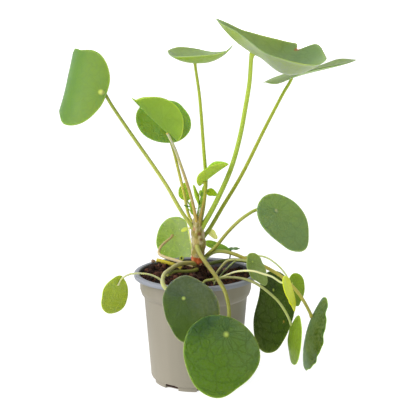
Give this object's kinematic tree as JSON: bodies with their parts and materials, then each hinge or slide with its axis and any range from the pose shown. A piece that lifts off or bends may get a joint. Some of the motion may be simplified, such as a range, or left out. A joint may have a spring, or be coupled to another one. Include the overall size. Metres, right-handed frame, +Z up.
{
  "type": "potted pilea plant",
  "caption": "Potted pilea: round leaves on long petioles around a short woody trunk, in a tapered plastic nursery pot filled with soil.",
  "frame": {"origin": "middle of the pot's flat base, on the surface it stands on", "axes": "+Z up along the pot's axis; -Y is the side seen in the picture, +X to the right of it"},
  "size_m": [0.2882, 0.2006, 0.3496],
  "materials": {
    "pot_plastic": "satin grey-beige",
    "soil": "rough dark peat",
    "bark": "tan with brown scars",
    "young_leaf": "satin yellow-green",
    "leaf": "satin mid green",
    "dark_leaf": "satin dark green",
    "green_stalk": "satin yellow-green",
    "tan_stalk": "satin tan",
    "yellow_stalk": "matt yellow"
  },
  "bodies": {
    "root": {"pot": "pot_plastic", "soil": "soil", "trunk": "bark", "crown": "young_leaf", "petiole_upper_left": "green_stalk", "blade_upper_left": "leaf", "petiole_folded_young": "tan_stalk", "blade_folded_young": "young_leaf", "petiole_round_back": "green_stalk", "blade_round_back": "leaf", "petiole_top_centre": "green_stalk", "blade_top_centre": "leaf", "petiole_top_large": "green_stalk", "blade_top_large": "leaf", "petiole_top_right": "green_stalk", "blade_top_right": "leaf", "petiole_rolled_young": "tan_stalk", "blade_rolled_young": "young_leaf", "petiole_right_middle": "green_stalk", "blade_right_middle": "leaf", "petiole_back_left": "tan_stalk", "blade_back_left": "leaf", "petiole_left_small": "green_stalk", "blade_left_small": "young_leaf", "petiole_front_dark": "green_stalk", "blade_front_dark": "dark_leaf", "petiole_front_large": "green_stalk", "blade_front_large": "leaf", "petiole_right_inner": "tan_stalk", "blade_right_inner": "leaf", "petiole_right_dark": "green_stalk", "blade_right_dark": "dark_leaf", "petiole_yellow_narrow": "green_stalk", "blade_yellow_narrow": "young_leaf", "petiole_right_back": "green_stalk", "blade_right_back": "leaf", "petiole_right_pale": "green_stalk", "blade_right_pale": "young_leaf", "petiole_right_outer": "tan_stalk", "blade_right_outer": "leaf", "petiole_behind_trunk": "green_stalk", "blade_behind_trunk": "leaf", "seedling": "dark_leaf", "old_stalk": "yellow_stalk"}
  },
  "joints": []
}
